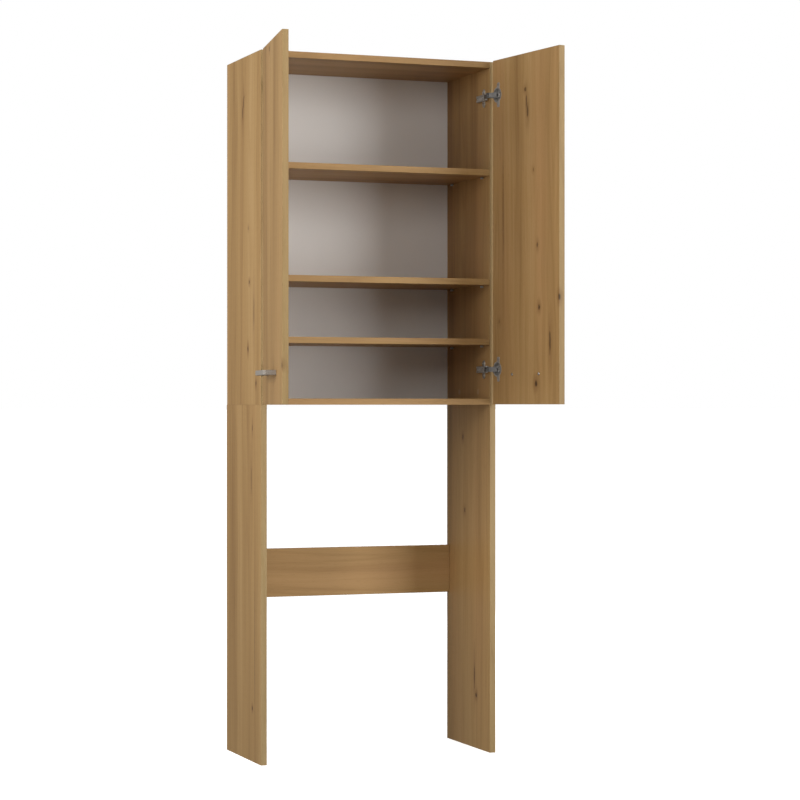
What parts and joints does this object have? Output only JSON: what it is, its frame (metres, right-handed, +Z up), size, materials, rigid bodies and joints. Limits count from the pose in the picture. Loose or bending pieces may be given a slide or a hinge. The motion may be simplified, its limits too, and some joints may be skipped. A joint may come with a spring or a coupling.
{
  "type": "over-the-toilet storage rack",
  "caption": "Tall oak-laminate bathroom rack: open legs with a rear brace straddle a toilet and carry a two-door cabinet with loose shelves.",
  "frame": {"origin": "on the floor, midway between the sides, in the plane of the closed doors' outer faces, which holds both doors' swing axes", "axes": "+X to the right-hand side as seen from the front, +Y to the wall, +Z up; stored with both doors open"},
  "size_m": [0.7727, 0.6356, 1.828],
  "materials": {
    "oak_laminate": "matt wood-grain laminate",
    "back_board": "white lacquered fibreboard",
    "beech_dowel": "raw beech",
    "zinc_plate": "zinc plated",
    "screw_steel": "plated screw steel",
    "satin_handle": "satin grey",
    "nickel_hinge": "nickel plated, pressed"
  },
  "bodies": {
    "cabinet": {"left_side_panel": "oak_laminate", "right_side_panel": "oak_laminate", "top_panel": "oak_laminate", "bottom_panel": "oak_laminate", "upper_shelf": "oak_laminate", "middle_shelf": "oak_laminate", "lower_shelf": "oak_laminate", "back_panel": "back_board", "left_leg_panel": "oak_laminate", "right_leg_panel": "oak_laminate", "rear_brace": "oak_laminate", "cam_housings": "zinc_plate", "cam_bolts": "screw_steel", "cam_caps": "oak_laminate", "wooden_dowels": "beech_dowel", "shelf_pins": "zinc_plate", "back_panel_nails": "screw_steel", "wall_brackets": "zinc_plate", "wall_bracket_screws": "screw_steel", "left_upper_hinge_plate": "nickel_hinge", "left_lower_hinge_plate": "nickel_hinge", "right_upper_hinge_plate": "nickel_hinge", "right_lower_hinge_plate": "nickel_hinge", "left_upper_hinge_arm": "nickel_hinge", "left_lower_hinge_arm": "nickel_hinge", "right_upper_hinge_arm": "nickel_hinge", "right_lower_hinge_arm": "nickel_hinge", "hinge_plate_screws": "screw_steel", "hinge_arm_screws": "screw_steel", "hinge_arm_pins": "nickel_hinge"},
    "left_door": {"left_door": "oak_laminate", "left_handle": "satin_handle", "left_handle_screws": "screw_steel", "left_upper_hinge_cup": "nickel_hinge", "left_lower_hinge_cup": "nickel_hinge", "left_hinge_cup_screws": "screw_steel", "left_hinge_cup_pins": "nickel_hinge"},
    "left_arm_links": {"left_upper_arm_link": "nickel_hinge", "left_lower_arm_link": "nickel_hinge", "left_link_pins": "nickel_hinge"},
    "left_cup_links": {"left_upper_cup_link": "nickel_hinge", "left_lower_cup_link": "nickel_hinge"},
    "right_door": {"right_door": "oak_laminate", "right_handle": "satin_handle", "right_handle_screws": "screw_steel", "right_upper_hinge_cup": "nickel_hinge", "right_lower_hinge_cup": "nickel_hinge", "right_hinge_cup_screws": "screw_steel", "right_hinge_cup_pins": "nickel_hinge"},
    "right_arm_links": {"right_upper_arm_link": "nickel_hinge", "right_lower_arm_link": "nickel_hinge", "right_link_pins": "nickel_hinge"},
    "right_cup_links": {"right_upper_cup_link": "nickel_hinge", "right_lower_cup_link": "nickel_hinge"}
  },
  "joints": [
    {"name": "left_door_swing", "type": "hinge", "parent": "cabinet", "child": "left_door", "pos_m": [-0.32, 0, 1.354], "axis": [0, 0, -1], "range_deg": [-99.3, 5.7]},
    {"name": "left_arm_link_pivot", "type": "hinge", "parent": "cabinet", "child": "left_arm_links", "pos_m": [-0.296, 0.0215, 1.354], "axis": [0, 0, -1], "range_deg": [-99.3, 5.7]},
    {"name": "left_cup_link_pivot", "type": "hinge", "parent": "left_arm_links", "child": "left_cup_links", "pos_m": [-0.28853, -0.00404, 1.354], "axis": [0, 0, -1], "range_deg": [-5.7, 99.3]},
    {"name": "right_door_swing", "type": "hinge", "parent": "cabinet", "child": "right_door", "pos_m": [0.32, 0, 1.354], "axis": [0, 0, 1], "range_deg": [-98.1, 6.9]},
    {"name": "right_arm_link_pivot", "type": "hinge", "parent": "cabinet", "child": "right_arm_links", "pos_m": [0.296, 0.0215, 1.354], "axis": [0, 0, 1], "range_deg": [-98.1, 6.9]},
    {"name": "right_cup_link_pivot", "type": "hinge", "parent": "right_arm_links", "child": "right_cup_links", "pos_m": [0.288, -0.00388, 1.354], "axis": [0, 0, 1], "range_deg": [-6.9, 98.1]}
  ],
  "couplings": [
    {"joint": "left_arm_link_pivot", "follows": "left_door_swing", "ratio": 1},
    {"joint": "left_cup_link_pivot", "follows": "left_door_swing", "ratio": -1},
    {"joint": "right_arm_link_pivot", "follows": "right_door_swing", "ratio": 1},
    {"joint": "right_cup_link_pivot", "follows": "right_door_swing", "ratio": -1}
  ]
}
